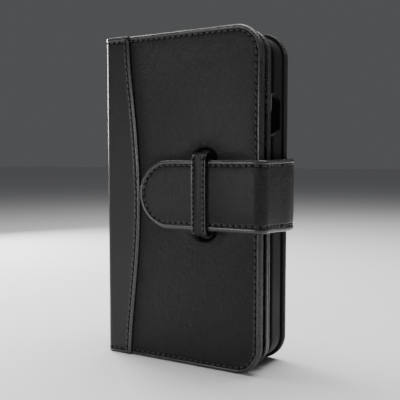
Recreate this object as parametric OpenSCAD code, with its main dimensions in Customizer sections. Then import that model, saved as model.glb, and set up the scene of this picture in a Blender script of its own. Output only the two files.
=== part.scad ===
// Phone wallet case: a hard-backed leather book case that stands on its lower edge.
// x runs from the spine to the opening edge, y from the front cover to the back
// cover, z up. Modules work in a case frame whose zero is the lower front spine
// corner of the front hide; placed() moves that frame onto the part's own origin.

/* [Case] */
// Height of the covers
case_h = 160; // [150:1:175]
// Width from the spine face to the opening edge
case_w = 86; // [84:0.5:95]
// Depth from front hide to back hide
case_d = 31; // [31:0.5:36]
// Radius of the covers' outer corners
corner_r = 13; // [8:0.5:16]

/* [Leather and board] */
// Thickness of the outer hide
hide_t = 1.2; // [1:0.1:1.3]
// Thickness of the cover lining
lining_t = 1; // [0.8:0.1:1]
// Thickness of the stiff board in the front cover
front_board_t = 1.2; // [1:0.1:1.2]
// Thickness of the soft padding under the front hide
padding_t = 0.8; // [0.5:0.1:0.8]
// Thickness of the stiff board in the back cover
back_board_t = 1.6; // [1.2:0.1:1.6]
// Thickness of one pocket ply
pocket_t = 0.6; // [0.4:0.1:0.6]

/* [Spine] */
// Thickness of the spine hide where it lies over the covers
overlay_t = 1; // [0.6:0.1:1.2]
// Reach of the spine hide over the front at top and bottom
overlay_w = 14.7; // [12:0.1:18]
// Extra reach of the spine hide at mid height
overlay_bulge = 6.1; // [0:0.1:8]

/* [Phone tray] */
// Width of the phone that the tray is moulded for
phone_w = 72; // [70:0.5:72]
// Height of that phone
phone_h = 150.4; // [140:0.2:151]
// Depth of that phone
phone_d = 7.8; // [7:0.1:7.8]
// Wall thickness of the tray
tray_wall = 2; // [1.6:0.1:2]

/* [Strap] */
// Width of the closing strap
strap_w = 32.4; // [26:0.2:36]
// Height of the strap's centre line above the lower edge
strap_z = 82.7; // [70:0.1:90]
// Thickness of the strap
strap_t = 2.2; // [2:0.1:2.4]
// Distance of the strap's tip from the spine face
strap_tip_x = 21.6; // [21.4:0.1:30]
// Length of the strap sewn to the back cover
strap_base_l = 38; // [30:1:50]

/* [Keeper loop] */
// Width of the keeper loop
keeper_w = 7.4; // [6:0.1:9]
// Distance of the keeper's centre line from the spine face
keeper_x = 56.2; // [50:0.1:62]
// Thickness of the keeper loop
keeper_t = 1.6; // [1.4:0.1:1.8]

/* [Hidden] */
$fn = 96;
eps = 0.05;                 // overshoot of every cut
clearance = 0.3;            // running gap between parts that move apart
hinge_gap = 0.15;           // gap beside a leather crease
turn_t = 1;                 // thickness of the hide turned in round a cover's edge

// Layers of the front cover, counted from the front hide's face
front_board_y = hide_t + padding_t;
front_lining_y = front_board_y + front_board_t;
front_pocket_y = front_lining_y + lining_t;

// Layers of the back cover, counted towards the phone
back_board_y = case_d - hide_t - back_board_t;
back_lining_y = back_board_y - lining_t;
bond_t = 0.6;
bond_y = back_lining_y - bond_t;

// Phone tray
tray_back_t = 1.6;
tray_liner_t = 0.5;
tray_lip_t = 1;
tray_lip_w = 1.2;
fit_gap = 0.3;              // slack between phone and tray on each side
tray_w = phone_w + 2 * (fit_gap + tray_wall);
tray_h = phone_h + 2 * (fit_gap + tray_wall);
tray_back_y = bond_y - tray_back_t;
tray_bay_y = tray_back_y - tray_liner_t - phone_d;
tray_front_y = tray_bay_y - tray_lip_t;
tray_right = case_w - 1;
tray_left = tray_right - tray_w;
tray_z = (case_h - tray_h) / 2;
tray_r = corner_r - 2;

// Openings in the tray and the back cover
camera_size = 34;
camera_r = 8;
camera_x = case_w - 6 - camera_size;
camera_z = case_h - 10 - camera_size;
side_cut_z = 120;           // centre height of the side key openings
side_cut_lip = 21;          // their length at the lip
side_cut_foot = 14.4;       // their length at the bottom of the cut
left_cut_lip = 40;
left_cut_foot = 33;
side_cut_depth = 8;
port_w = 36;
port_depth = 6;

// Spine
crease_x = 4;               // start of the covers beside the spine
spine_hide_t = 1.2;
spine_board_t = 1.2;
spine_lining_t = 0.8;
spine_inner_x = spine_hide_t + spine_board_t + spine_lining_t;
spine_corner_r = 2.4;
spine_front_y = -overlay_t;
spine_back_y = case_d + overlay_t;
overlay_steps = 32;

// Card leaf between the covers
leaf_front_y = 9.5;
leaf_skin_t = 1;
leaf_t = 3.8;
leaf_left = 6.2;
leaf_right = case_w - 1;
leaf_z = 0.6;
leaf_r = corner_r - 1;
leaf_mid_y = leaf_front_y + leaf_t / 2;
leaf_strip_t = 0.6;
leaf_strip_end = 5.6;

// Pockets: cards go in from the opening edge, long side upright
card_h = 85.6;
pocket_h = card_h + 8;
pocket_z = (case_h - pocket_h) / 2;
pocket_left = 11;
pocket_first = 66;          // right edge of the deepest card pocket
pocket_step = 10;           // each further pocket is this much shorter
thumb_r = 9;
cash_right = 74;
cash_margin = 5;

// Strap
strap_face_t = 1;           // outer leather of the strap
strap_lining_t = 0.8;
strap_core_t = strap_t - strap_face_t - strap_lining_t;
strap_rim = 3;              // sewn border without core
strap_bend_r = 0.4;         // inner radius of the strap's bends
strap_side_x = case_w + 0.5;
strap_bend_x = strap_side_x - strap_bend_r;
strap_out_x = strap_side_x + strap_t;
strap_front_y = -clearance;
strap_front_out = strap_front_y - strap_t;
strap_bend_front_y = strap_front_y + strap_bend_r;
strap_bend_back_y = case_d - strap_bend_r;
strap_back_out = case_d + strap_t;
strap_tip_r = strap_w / 2;

// Keeper loop and its slots
keeper_in_y = strap_front_out - clearance;
keeper_out_y = keeper_in_y - keeper_t;
keeper_backing_t = 0.6;
keeper_span = 39;           // height between the outer faces of its legs
keeper_bend_r = 2.6;
keeper_foot = 6;            // length of each foot under the hide
keeper_foot_t = 0.7;
slot_w = 11;
slot_h = 4.6;
slot_r = 2.2;

// Origin of the part, at the middle of its bounding box
origin_x = strap_out_x / 2;
origin_y = (keeper_out_y + strap_back_out) / 2;

hide = [0.10, 0.10, 0.11];
hide_smooth = [0.13, 0.13, 0.14];
cloth = [0.18, 0.18, 0.19];
greyboard = [0.45, 0.43, 0.40];
foam = [0.60, 0.60, 0.62];
moulding = [0.07, 0.07, 0.08];

// ---------- helpers ----------

// Moves the case frame onto the part's origin.
module placed() {
    translate([-origin_x, -origin_y, 0]) children();
}

// Stands an x-z outline up as a plate between two y planes.
module plate(y0, y1) {
    translate([0, y1, 0]) rotate([90, 0, 0]) linear_extrude(y1 - y0) children();
}

// Stands an x-y outline up as a column between two heights.
module column(z0, z1) {
    translate([0, 0, z0]) linear_extrude(z1 - z0) children();
}

// Rectangle whose two right-hand corners are round.
module right_rounded(x0, x1, z0, z1, r) {
    translate([x0, z0]) square([x1 - x0 - r, z1 - z0]);
    translate([x0, z0 + r]) square([x1 - x0, z1 - z0 - 2 * r]);
    for (z = [z0 + r, z1 - r]) translate([x1 - r, z]) circle(r);
}

// Rectangle whose four corners are round.
module all_rounded(x0, x1, z0, z1, r) {
    translate([x0 + r, z0]) square([x1 - x0 - 2 * r, z1 - z0]);
    translate([x0, z0 + r]) square([x1 - x0, z1 - z0 - 2 * r]);
    for (x = [x0 + r, x1 - r], z = [z0 + r, z1 - r]) translate([x, z]) circle(r);
}

// Outline of a cover, drawn in from its edge.
module cover_outline(inset) {
    right_rounded(crease_x + hinge_gap, case_w - inset, inset, case_h - inset, corner_r - inset);
}

// Inside of a cover's turned hide, open towards the spine.
module cover_inside() {
    right_rounded(0, case_w - turn_t, turn_t, case_h - turn_t, corner_r - turn_t);
}

// A filler sheet inside a cover's turned hide.
module cover_filler(y0, y1) {
    plate(y0, y1) intersection() {
        cover_inside();
        translate([crease_x + hinge_gap, 0]) square([case_w, case_h]);
    }
}

module camera_outline(grow) {
    all_rounded(camera_x - grow, camera_x + camera_size + grow,
        camera_z - grow, camera_z + camera_size + grow, camera_r + grow);
}

// The two slots that the keeper loop's ends pass through.
module keeper_slots() {
    for (side = [-1, 1]) {
        z = strap_z + side * (keeper_span / 2 - 1);
        all_rounded(keeper_x - slot_w / 2, keeper_x + slot_w / 2, z - slot_h / 2, z + slot_h / 2, slot_r);
    }
}

// How far the spine hide reaches over a cover at height z.
function overlay_reach(z) =
    overlay_w + overlay_bulge * pow(0.5 - 0.5 * cos(360 * z / case_h), 0.75);

module overlay_outline() {
    polygon(concat(
        [[crease_x + hinge_gap, case_h], [crease_x + hinge_gap, 0]],
        [for (i = [0 : overlay_steps]) let (z = case_h * i / overlay_steps) [overlay_reach(z), z]]
    ));
}

// Cross section of the spine hide: its face and two short returns.
module spine_section(depth) {
    difference() {
        union() {
            translate([0, spine_front_y + spine_corner_r])
                square([crease_x, spine_back_y - spine_front_y - 2 * spine_corner_r]);
            translate([spine_corner_r, spine_front_y])
                square([crease_x - spine_corner_r, spine_back_y - spine_front_y]);
            for (y = [spine_front_y + spine_corner_r, spine_back_y - spine_corner_r])
                translate([spine_corner_r, y]) circle(spine_corner_r);
        }
        translate([depth, spine_front_y + depth])
            square([crease_x, spine_back_y - spine_front_y - 2 * depth]);
        translate([crease_x, spine_front_y]) square([crease_x, spine_back_y - spine_front_y]);
    }
}

// A pocket ply with a thumb notch in its open edge.
module pocket_ply(x0, x1, z0, z1, y0) {
    plate(y0, y0 + pocket_t) difference() {
        translate([x0, z0]) square([x1 - x0, z1 - z0]);
        translate([x1 + thumb_r / 3, (z0 + z1) / 2]) circle(thumb_r);
    }
}

// Flat stretch of the strap, as an outline seen from the front.
module strap_outline(x0, x1, inset) {
    translate([x0, strap_z - strap_w / 2 + inset]) square([x1 - x0, strap_w - 2 * inset]);
}

module tongue_outline(inset) {
    strap_outline(strap_tip_x + strap_tip_r, strap_bend_x, inset);
    translate([strap_tip_x + strap_tip_r, strap_z]) circle(strap_tip_r - inset);
}

// Outline of the strap's sewn end on the back, with two round corners.
module base_outline(inset) {
    translate([2 * strap_bend_x, 0]) mirror([1, 0])
        right_rounded(strap_bend_x, strap_bend_x + strap_base_l - inset,
            strap_z - strap_w / 2 + inset, strap_z + strap_w / 2 - inset, 6 - inset);
}

// Outer leather of a strap stretch: a face with a border turned down to the lining.
module strap_face(y0, y1, face_y) {
    difference() {
        plate(y0, y1) children(0);
        plate(face_y - eps, face_y + strap_core_t + eps) children(1);
    }
}

// Quarter ring at one of the strap's bends.
module strap_quarter(y, ysign) {
    z0 = strap_z - strap_w / 2;
    column(z0, z0 + strap_w) translate([strap_bend_x, y]) intersection() {
        difference() {
            circle(strap_bend_r + strap_t);
            circle(strap_bend_r);
        }
        translate([0, ysign > 0 ? 0 : -2 * strap_t]) square(2 * strap_t);
    }
}

// A block of the strap's side stretch between two x planes.
module side_block(x0, x1, inset) {
    z0 = strap_z - strap_w / 2 + inset;
    translate([x0, strap_bend_front_y + clearance, z0])
        cube([x1 - x0, strap_bend_back_y - strap_bend_front_y - 2 * clearance, strap_w - 2 * inset]);
}

// Side view of the keeper loop between two depths of its thickness, seen along x.
module keeper_section(outer, inner, foot) {
    half = keeper_span / 2;
    difference() {
        union() {
            translate([-half + outer, keeper_out_y + outer + keeper_bend_r])
                square([2 * (half - outer), foot - keeper_out_y - outer - keeper_bend_r]);
            translate([-half + outer + keeper_bend_r, keeper_out_y + outer])
                square([2 * (half - outer - keeper_bend_r), keeper_bend_r + eps]);
            for (s = [-1, 1])
                translate([s * (half - outer - keeper_bend_r), keeper_out_y + outer + keeper_bend_r])
                    circle(keeper_bend_r);
        }
        translate([-half + inner, keeper_out_y + inner])
            square([2 * (half - inner), foot - keeper_out_y]);
    }
}

// Stands a keeper section up across the keeper's width.
module keeper_bar() {
    translate([keeper_x + keeper_w / 2, 0, strap_z])
        rotate([0, -90, 0]) linear_extrude(keeper_w) children();
}

// ---------- front cover ----------

module front_leather() {
    color(hide) placed() difference() {
        plate(0, front_lining_y) cover_outline(0);
        plate(hide_t, front_lining_y + eps) cover_inside();
        plate(-eps, hide_t + eps) keeper_slots();
    }
}

module front_padding() {
    color(foam) placed() difference() {
        cover_filler(hide_t, front_board_y);
        for (side = [-1, 1])
            translate([keeper_x - slot_w / 2, hide_t - eps,
                       strap_z + side * keeper_span / 2 - keeper_foot - 1])
                cube([slot_w, padding_t + 2 * eps, 2 * keeper_foot + 2]);
    }
}

module front_board() {
    color(greyboard) placed() cover_filler(front_board_y, front_lining_y);
}

module front_lining() {
    color(cloth) placed() plate(front_lining_y, front_pocket_y) cover_outline(0.3);
}

module front_cash_pocket() {
    color(cloth) placed()
        pocket_ply(pocket_left, cash_right, cash_margin, case_h - cash_margin, front_pocket_y);
}

module front_card_pocket(n) {
    color(hide_smooth) placed()
        pocket_ply(pocket_left, pocket_first - pocket_step * (n - 1), pocket_z, pocket_z + pocket_h,
            front_pocket_y + n * pocket_t);
}

// ---------- keeper loop ----------

module keeper_strip() {
    foot_l = keeper_foot + keeper_backing_t;
    color(hide) placed() union() {
        keeper_bar() keeper_section(0, keeper_t - keeper_backing_t, hide_t + keeper_foot_t);
        for (side = [-1, 1])
            translate([keeper_x - keeper_w / 2, hide_t,
                       strap_z + side * (keeper_span / 2 + keeper_foot - foot_l / 2) - foot_l / 2])
                cube([keeper_w, keeper_foot_t, foot_l]);
    }
}

module keeper_backing() {
    color(cloth) placed()
        keeper_bar() keeper_section(keeper_t - keeper_backing_t, keeper_t, hide_t + keeper_foot_t);
}

// ---------- spine ----------

module spine_flap_front() {
    color(hide_smooth) placed() plate(-overlay_t, 0) overlay_outline();
}

module spine_flap_back() {
    color(hide_smooth) placed() plate(case_d, case_d + overlay_t) overlay_outline();
}

module spine_leather() {
    color(hide_smooth) placed() column(0, case_h) spine_section(spine_hide_t);
}

// A spine sheet between two depths from the spine's face.
module spine_sheet(x0, x1, margin) {
    y0 = spine_front_y + spine_hide_t;
    y1 = spine_back_y - spine_hide_t;
    translate([x0, y0, margin]) cube([x1 - x0, y1 - y0, case_h - 2 * margin]);
}

module spine_board() {
    color(greyboard) placed() spine_sheet(spine_hide_t, spine_hide_t + spine_board_t, turn_t);
}

module spine_lining() {
    color(cloth) placed() spine_sheet(spine_inner_x - spine_lining_t, spine_inner_x, 0.3);
}

// ---------- card leaf ----------

module leaf_hinge_strip() {
    color(cloth) placed() translate([spine_inner_x, leaf_mid_y - leaf_strip_t / 2, leaf_z])
        cube([leaf_strip_end - spine_inner_x, leaf_strip_t, case_h - 2 * leaf_z]);
}

module leaf_outline(inset) {
    right_rounded(leaf_left + inset, leaf_right - inset, leaf_z + inset, case_h - leaf_z - inset,
        leaf_r - inset);
}

// Half of the leaf's cover: a skin with a rim that meets the other half.
module leaf_half() {
    difference() {
        plate(leaf_front_y, leaf_mid_y) leaf_outline(0);
        plate(leaf_front_y + leaf_skin_t, leaf_mid_y + eps) leaf_outline(leaf_skin_t);
    }
}

module leaf_leather_front() {
    color(hide) placed() leaf_half();
}

module leaf_leather_rear() {
    color(hide) placed() translate([0, 2 * leaf_mid_y, 0]) mirror([0, 1, 0]) leaf_half();
}

module leaf_board() {
    color(greyboard) placed()
        plate(leaf_front_y + leaf_skin_t, leaf_front_y + leaf_t - leaf_skin_t) leaf_outline(leaf_skin_t);
}

// A card pocket on one face of the leaf: side -1 is the front, 1 the rear.
module leaf_pocket(side, n) {
    y = side < 0 ? leaf_front_y - n * pocket_t : leaf_front_y + leaf_t + (n - 1) * pocket_t;
    color(hide_smooth) placed()
        pocket_ply(pocket_left, pocket_first - pocket_step * (n - 1), pocket_z, pocket_z + pocket_h, y);
}

// ---------- back cover ----------

module back_leather() {
    color(hide) placed() difference() {
        plate(back_board_y, case_d) cover_outline(0);
        plate(back_board_y - eps, case_d - hide_t) cover_inside();
        plate(case_d - hide_t - eps, case_d + eps) camera_outline(0);
    }
}

module back_board() {
    color(greyboard) placed() difference() {
        cover_filler(back_board_y, case_d - hide_t);
        plate(back_board_y - eps, case_d) camera_outline(0.6);
    }
}

module back_lining() {
    color(cloth) placed() plate(back_lining_y, back_board_y) difference() {
        cover_outline(0.3);
        camera_outline(0);
    }
}

// ---------- phone tray ----------

module tray_outline(inset) {
    all_rounded(tray_left + inset, tray_right - inset, tray_z + inset, tray_z + tray_h - inset,
        tray_r - inset);
}

module tray_bond_pad() {
    color(foam) placed() plate(bond_y, back_lining_y) difference() {
        tray_outline(6);
        camera_outline(1);
    }
}

// Side key opening through wall and lip, wider at the tray's lip than at its foot.
module key_cut(x, lip, foot) {
    y0 = tray_front_y;
    translate([x, 0, side_cut_z]) rotate([90, 0, 90]) linear_extrude(tray_wall + tray_lip_w + 2 * eps)
        polygon([[y0 - eps, -lip / 2], [y0 + side_cut_depth, -foot / 2],
            [y0 + side_cut_depth, foot / 2], [y0 - eps, lip / 2]]);
}

module phone_tray() {
    color(moulding) placed() difference() {
        plate(tray_front_y, bond_y) tray_outline(0);
        plate(tray_bay_y, tray_back_y) tray_outline(tray_wall);
        plate(tray_front_y - eps, tray_bay_y + eps) tray_outline(tray_wall + tray_lip_w);
        plate(tray_back_y - eps, bond_y + eps) camera_outline(0);
        key_cut(tray_right - tray_wall - tray_lip_w - eps, side_cut_lip, side_cut_foot);
        key_cut(tray_left - eps, left_cut_lip, left_cut_foot);
        translate([(tray_left + tray_right - port_w) / 2, tray_bay_y + 1, tray_z - eps])
            cube([port_w, port_depth, tray_wall + 2 * eps]);
    }
}

module tray_liner() {
    color(cloth) placed() plate(tray_back_y - tray_liner_t, tray_back_y) difference() {
        tray_outline(tray_wall);
        camera_outline(0.6);
    }
}

// ---------- strap ----------

module strap_base_leather() {
    color(hide) placed() difference() {
        plate(case_d + strap_lining_t, strap_back_out) base_outline(0);
        plate(case_d + strap_lining_t - eps, strap_back_out - strap_face_t) base_outline(strap_rim);
    }
}

module strap_base_core() {
    color(foam) placed() plate(case_d + strap_lining_t, strap_back_out - strap_face_t)
        base_outline(strap_rim);
}

module strap_base_lining() {
    color(cloth) placed() plate(case_d, case_d + strap_lining_t) base_outline(0);
}

module strap_root_bend() {
    color(hide) placed() strap_quarter(strap_bend_back_y, 1);
}

module strap_side_leather() {
    color(hide) placed() difference() {
        side_block(strap_side_x + strap_lining_t, strap_out_x, 0);
        side_block(strap_side_x, strap_out_x - strap_face_t, strap_rim);
    }
}

module strap_side_core() {
    color(foam) placed() side_block(strap_side_x + strap_lining_t, strap_out_x - strap_face_t, strap_rim);
}

module strap_side_lining() {
    color(cloth) placed() side_block(strap_side_x, strap_side_x + strap_lining_t, 0);
}

module strap_front_bend() {
    color(hide) placed() strap_quarter(strap_bend_front_y, -1);
}

module strap_tongue_leather() {
    color(hide) placed() difference() {
        plate(strap_front_out, strap_front_y - strap_lining_t) tongue_outline(0);
        plate(strap_front_out + strap_face_t, strap_front_y) tongue_outline(strap_rim);
    }
}

module strap_tongue_core() {
    color(foam) placed() plate(strap_front_out + strap_face_t, strap_front_y - strap_lining_t)
        tongue_outline(strap_rim);
}

module strap_tongue_lining() {
    color(cloth) placed() plate(strap_front_y - strap_lining_t, strap_front_y) tongue_outline(0);
}

// ---------- assembly ----------

front_leather();
front_padding();
front_board();
front_lining();
front_cash_pocket();
front_card_pocket(1);  // front_card_pocket_1
front_card_pocket(2);  // front_card_pocket_2
front_card_pocket(3);  // front_card_pocket_3
keeper_strip();
keeper_backing();
spine_flap_front();
spine_leather();
spine_board();
spine_lining();
leaf_hinge_strip();
leaf_leather_front();
leaf_leather_rear();
leaf_board();
leaf_pocket(-1, 1);  // leaf_pocket_front_1
leaf_pocket(-1, 2);  // leaf_pocket_front_2
leaf_pocket(1, 1);  // leaf_pocket_rear_1
leaf_pocket(1, 2);  // leaf_pocket_rear_2
spine_flap_back();
back_leather();
back_board();
back_lining();
tray_bond_pad();
phone_tray();
tray_liner();
strap_base_leather();
strap_base_lining();
strap_base_core();
strap_root_bend();
strap_side_leather();
strap_side_lining();
strap_side_core();
strap_front_bend();
strap_tongue_leather();
strap_tongue_lining();
strap_tongue_core();
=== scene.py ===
"""Phone wallet case: the looks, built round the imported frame.

Flat pieces are drawn in millimetres as sheets in flat coordinates (u, v, depth), with their sewn
rims, channels and needle holes, and are then laid on a plane or wrapped round a path.
"""
import math

import bmesh
import bpy
import numpy as np
from bpy.props import FloatProperty, FloatVectorProperty, PointerProperty
from bpy.types import Operator, Panel, PropertyGroup
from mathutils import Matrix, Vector


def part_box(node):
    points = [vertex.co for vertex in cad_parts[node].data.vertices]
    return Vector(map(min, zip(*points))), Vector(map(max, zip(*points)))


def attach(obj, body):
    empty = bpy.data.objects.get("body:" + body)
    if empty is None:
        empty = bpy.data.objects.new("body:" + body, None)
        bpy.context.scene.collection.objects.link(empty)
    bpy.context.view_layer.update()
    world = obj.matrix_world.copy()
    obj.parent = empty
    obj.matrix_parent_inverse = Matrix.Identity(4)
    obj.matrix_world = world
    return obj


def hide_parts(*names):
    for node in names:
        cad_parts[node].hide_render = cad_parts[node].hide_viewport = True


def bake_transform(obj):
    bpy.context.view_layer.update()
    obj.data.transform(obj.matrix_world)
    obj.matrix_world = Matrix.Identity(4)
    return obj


bl_info = {
    "name": "Phone Wallet Case",
    "version": (1, 0, 0),
    "blender": (4, 5, 0),
    "location": "3D View > Sidebar > Case",
    "description": "Builds a sewn leather phone wallet case round its packed frame",
    "category": "Add Mesh",
}

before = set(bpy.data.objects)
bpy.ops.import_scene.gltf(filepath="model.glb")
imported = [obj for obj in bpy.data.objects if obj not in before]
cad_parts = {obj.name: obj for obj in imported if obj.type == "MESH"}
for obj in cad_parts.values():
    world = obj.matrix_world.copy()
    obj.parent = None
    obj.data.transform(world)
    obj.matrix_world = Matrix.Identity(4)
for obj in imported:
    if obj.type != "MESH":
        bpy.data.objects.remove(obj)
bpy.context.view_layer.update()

MM = 0.001
ORIGIN = Vector((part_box("spine_leather")[0].x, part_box("front_leather")[0].y, 0.0))


def span(node):
    """Lowest and highest corner of a frame node, in millimetres from the case's front spine corner."""
    low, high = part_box(node)
    return np.array(low - ORIGIN) / MM, np.array(high - ORIGIN) / MM


def to_frame(x, y, z):
    """A point of the case, in millimetres, as a point of the frame in metres."""
    return Vector((x, y, z)) * MM + ORIGIN


COVER_LO, COVER_HI = span("front_leather")
CASE_W, CASE_H = COVER_HI[0], COVER_HI[2]
BACK_LO, BACK_HI = span("back_leather")
CASE_D = BACK_HI[1]
LINING_LO, LINING_HI = span("front_lining")
BACK_LINING_LO, BACK_LINING_HI = span("back_lining")
SPINE_LO, SPINE_HI = span("spine_leather")
SPINE_LINING_LO, SPINE_LINING_HI = span("spine_lining")
TONGUE_LO, TONGUE_HI = span("strap_tongue_leather")
STRAP_SIDE_LO, STRAP_SIDE_HI = span("strap_side_leather")
STRAP_SIDE_IN = span("strap_side_lining")[0][0]
STRAP_BASE_LO, STRAP_BASE_HI = span("strap_base_leather")
KEEPER_LO, KEEPER_HI = span("keeper_strip")
TRAY_LO, TRAY_HI = span("phone_tray")
TRAY_LINER_LO, TRAY_LINER_HI = span("tray_liner")
LEAF_LO, LEAF_HI = span("leaf_leather_front")
LEAF_BACK = span("leaf_leather_rear")[1][1]
STRIP_LO, STRIP_HI = span("leaf_hinge_strip")

HIDE_T = 1.2            # thickness of the outer hide
TURN_T = 1.0            # thickness of the hide turned round an edge
SPINE_MID = (SPINE_LO[1] + SPINE_HI[1]) / 2
STRAP_MID = (STRAP_SIDE_LO[1] + STRAP_SIDE_HI[1]) / 2
STRAP_T = STRAP_SIDE_HI[0] - STRAP_SIDE_IN
STRAP_Z = (TONGUE_LO[2] + TONGUE_HI[2]) / 2
STRAP_HALF_W = (TONGUE_HI[2] - TONGUE_LO[2]) / 2
STRAP_RIM = 3.0         # sewn border of the strap, without core
KEEPER_X = (KEEPER_LO[0] + KEEPER_HI[0]) / 2
KEEPER_T = 1.6
KEEPER_REACH = 19.5     # from the strap's centre line to the outside of a keeper leg
SLOT_REACH = 18.5       # from the strap's centre line to the middle of a slot in the frame's hide
SLOT_X = KEEPER_X + 0.8         # middle of the slots' ovals, drawn open beside the loop
SLOT_MIDDLE = SLOT_REACH - 1.2  # from the strap's centre line to the middle of an oval
LINING_EDGE = 0.3       # how far a lining stops short of its cover's edge
FAR_X = 60.0            # end of the paths that run onto a cover, past any piece's edge
CAMERA_FROM_SIDE = 6.0  # from the camera opening to the cover's opening edge
CAMERA_FROM_TOP = 10.0  # from the camera opening to the cover's top
TRAY_WALL = 2.0
TRAY_FLOOR = 1.6
TRAY_LIP = 1.2          # how far the tray's lip reaches in over the phone
TRAY_LIP_T = 1.0
KEY_Z = 120.0           # height of the middle of both side key openings


# ---------- user settings ----------

def length(name, description, default):
    """A length setting, in metres."""
    return FloatProperty(name=name, description=description, default=default, unit="LENGTH",
                         precision=5, min=0.0)


def colour(name, description, default):
    """A linear colour setting."""
    return FloatVectorProperty(name=name, description=description, default=default, subtype="COLOR",
                               size=3, min=0.0, max=1.0)


class CaseSizes(PropertyGroup):
    corner: length("Cover corner", "Radius of the covers' outer corners", 0.013)
    pitch: length("Stitch pitch", "Distance from one needle hole to the next", 0.0031)
    thread: length("Thread radius", "Radius of the sewing thread", 0.00036)
    seam: length("Seam inset", "Distance of a cover's seam from its edge", 0.0026)
    strap_seam: length("Strap seam inset", "Distance of the strap's seam from its edge", 0.0025)
    crown: length("Padding crown", "How far the padded cover swells between its seams", 0.00045)
    flap: length("Spine flap", "Reach of the spine hide over a cover at its ends", 0.0147)
    flap_bulge: length("Flap bulge", "Extra reach of the spine hide at mid height", 0.0061)
    strap_tip: length("Strap tip", "Distance of the strap's tip from the spine", 0.0216)
    strap_bulge: length("Strap bulge", "How far the strap stands off the side of the case", 0.0019)
    strap_lower_border: length("Strap lower border", "Extra width outside the strap's lower seam", 0.0007)
    slot_width: length("Keeper slot width", "Width of the slots that the keeper loop dives into", 0.0122)
    slot_height: length("Keeper slot height", "Height of those slots", 0.0098)
    camera_side: length("Camera opening", "Side of the square camera opening", 0.034)
    camera_corner: length("Camera corner", "Radius of the camera opening's corners", 0.008)


class CaseColours(PropertyGroup):
    hide: colour("Hide", "Fine-grained cover leather", (0.0062, 0.0062, 0.0068))
    spine: colour("Spine hide", "Smoother spine leather", (0.0060, 0.0060, 0.0066))
    pocket: colour("Pocket leather", "Thin leather of the card pockets", (0.0095, 0.0095, 0.0104))
    lining: colour("Lining", "Soft lining cloth", (0.012, 0.012, 0.0132))
    tray: colour("Tray", "Moulded tray", (0.0075, 0.0075, 0.0083))
    thread: colour("Thread", "Waxed sewing thread", (0.017, 0.017, 0.0185))
    board: colour("Board", "Stiff grey board", (0.30, 0.28, 0.25))
    foam: colour("Foam", "Soft padding", (0.52, 0.52, 0.53))
    # Near-black painted shade for the insides of needle holes and keeper slots, darker than the hide
    # itself.
    hole_shade: colour("Cavity", "Raw hide inside holes and slots", (0.0016, 0.0016, 0.0017))
    floor: colour("Floor", "Pale studio floor", (0.86, 0.86, 0.87))


def sizes():
    return bpy.context.scene.case_sizes


def colours():
    return bpy.context.scene.case_colours


def in_mm(name):
    """A length setting in millimetres."""
    return getattr(sizes(), name) / MM


# ---------- materials ----------

def shader(name, base, roughness):
    """A new node material and its helpers: add makes a node, link joins two sockets.

    An input is given by its name, or by i and its number where names repeat.
    """
    material = bpy.data.materials.new(name)
    material.use_nodes = True
    tree = material.node_tree
    surface = tree.nodes["Principled BSDF"]
    surface.inputs["Base Color"].default_value = (*base, 1.0)
    surface.inputs["Roughness"].default_value = roughness

    def add(kind, mode=None, **inputs):
        node = tree.nodes.new(kind)
        if mode:
            setattr(node, *mode)
        for key, value in inputs.items():
            socket = node.inputs[int(key[1:]) if key[1:].isdigit() else key.replace("_", " ")]
            if isinstance(value, bpy.types.NodeSocket):
                tree.links.new(value, socket)
            else:
                socket.default_value = value
        return node

    return material, surface, add, tree.links.new


def mix_colour(add, link, factor, dark, light, target):
    """Runs a colour from dark to light with a factor, into the target socket."""
    blend = add("ShaderNodeMix")
    blend.data_type = "RGBA"
    link(factor, blend.inputs[0])
    blend.inputs[6].default_value = (*dark, 1.0)
    blend.inputs[7].default_value = (*light, 1.0)
    link(blend.outputs[2], target)


def remap(add, value, low, high):
    """A value from 0 to 1 spread from low to high."""
    return add("ShaderNodeMapRange", Value=value, To_Min=low, To_Max=high).outputs["Result"]


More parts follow.
